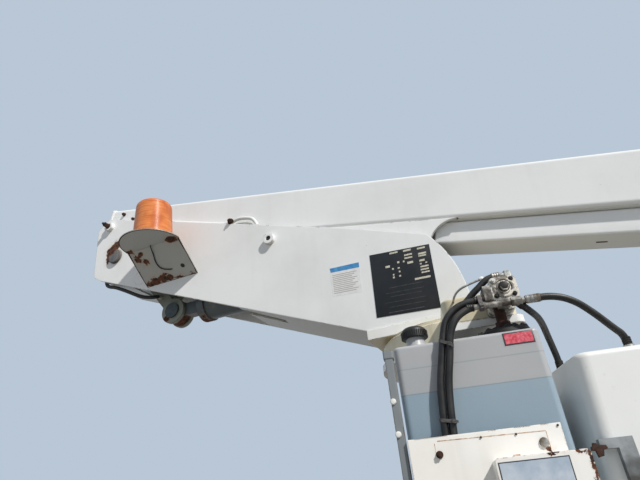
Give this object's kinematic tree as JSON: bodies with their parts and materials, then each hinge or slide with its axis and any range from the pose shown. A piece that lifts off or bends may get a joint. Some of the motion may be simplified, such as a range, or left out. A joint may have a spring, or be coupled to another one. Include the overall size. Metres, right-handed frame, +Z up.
{
  "type": "truck-mounted aerial lift",
  "caption": "Aerial lift for a service truck: pedestal with oil tank and power pack cover, slewing turret with beacon, telescopic boom on a lift cylinder, and a self-levelling bucket.",
  "frame": {"origin": "slew axis at the underside of the pedestal flange, where it bolts to the truck", "axes": "+Z up along the slew axis, +X towards the boom tip as it is stowed, -Y towards the side with the oil tank"},
  "size_m": [4.9285, 0.8798, 1.9037],
  "materials": {
    "white_enamel": "white gloss enamel, aged, with rust at the edges",
    "bare_steel": "machined steel, dull, greasy",
    "motor_casting": "grey paint worn to bare casting",
    "zinc_fittings": "zinc plated, tarnished",
    "chrome_rod": "hard chrome",
    "tank_plastic": "translucent moulded polyethylene",
    "black_plastic": "moulded black plastic",
    "hose_rubber": "oil resistant rubber",
    "pad_plastic": "nylon wear pads",
    "white_gelcoat": "glass fibre with gelcoat",
    "control_grey": "moulded dark grey plastic",
    "beacon_black": "moulded black plastic",
    "amber_lens": "ribbed amber polycarbonate"
  },
  "bodies": {
    "pedestal": {"base_flange": "white_enamel", "pedestal_column": "white_enamel", "pedestal_top_plate": "white_enamel", "slewing_ring": "white_enamel", "slew_gearbox": "white_enamel", "swing_motor": "motor_casting", "motor_manifold": "zinc_fittings", "reservoir": "tank_plastic", "filler_cap": "black_plastic", "reservoir_lid": "black_plastic", "service_shelf": "white_enamel", "tank_apron": "white_enamel", "shelf_frame": "white_enamel", "tank_upright": "white_enamel", "valve_cover": "white_enamel", "power_pack_cover": "white_gelcoat", "latch_frame": "bare_steel", "hose_fittings": "zinc_fittings", "hose_outer": "hose_rubber", "hose_inner": "hose_rubber", "hose_right": "hose_rubber", "hose_middle": "hose_rubber", "hose_return": "hose_rubber"},
    "turret": {"turning_ring": "white_enamel", "turret_base": "white_enamel", "turret_side_near": "white_enamel", "turret_side_far": "white_enamel", "turret_belly": "white_enamel", "turret_rear_wrap": "white_enamel", "cylinder_lugs": "white_enamel", "lift_base_pin": "bare_steel", "pivot_pin": "bare_steel", "rope_sleeves": "white_enamel", "beacon_bracket": "white_enamel", "beacon_base": "beacon_black", "beacon_lens": "amber_lens", "beacon_lead": "hose_rubber", "nose_hose": "hose_rubber"},
    "outer_boom": {"outer_boom": "white_enamel", "boom_front_plate": "white_enamel", "boom_bracket_near": "white_enamel", "boom_bracket_far": "white_enamel", "bracket_bosses": "white_enamel", "carrier_tube": "white_enamel", "mouth_pads": "pad_plastic"},
    "inner_boom": {"inner_boom": "white_enamel", "rear_pads": "pad_plastic", "boom_tip": "white_enamel", "bucket_pin": "bare_steel"},
    "bucket": {"bucket_bracket": "white_enamel", "bucket": "white_gelcoat", "control_box": "control_grey"},
    "lift_barrel": {"lift_barrel": "white_enamel"},
    "lift_rod": {"lift_rod": "chrome_rod"}
  },
  "joints": [
    {"name": "slew", "type": "hinge", "parent": "pedestal", "child": "turret", "pos_m": [0, 0, 0.99], "axis": [0, 0, 1], "continuous": true},
    {"name": "boom_lift", "type": "hinge", "parent": "turret", "child": "outer_boom", "pos_m": [-1.327, 0, 1.616], "axis": [0, -1, 0], "range_deg": [0, 88]},
    {"name": "boom_extend", "type": "slide", "parent": "outer_boom", "child": "inner_boom", "axis": [0.973, 0, -0.2309], "range_m": [0, 2.2]},
    {"name": "bucket_level", "type": "hinge", "parent": "inner_boom", "child": "bucket", "pos_m": [2.74352, 0, 0.82019], "axis": [0, -1, 0], "range_deg": [-88, 0]},
    {"name": "lift_barrel_swing", "type": "hinge", "parent": "turret", "child": "lift_barrel", "pos_m": [-1.071, 0, 1.331], "axis": [0, -1, 0], "range_deg": [0, 87.72]},
    {"name": "lift_rod_slide", "type": "slide", "parent": "lift_barrel", "child": "lift_rod", "axis": [0.9999, 0, -0.0169], "range_m": [0, 0.5332]}
  ],
  "couplings": [
    {"joint": "bucket_level", "follows": "boom_lift", "ratio": -1},
    {"joint": "lift_barrel_swing", "follows": "boom_lift", "ratio": 0.99568},
    {"joint": "lift_rod_slide", "follows": "boom_lift", "m_per_rad": 0.34649}
  ]
}
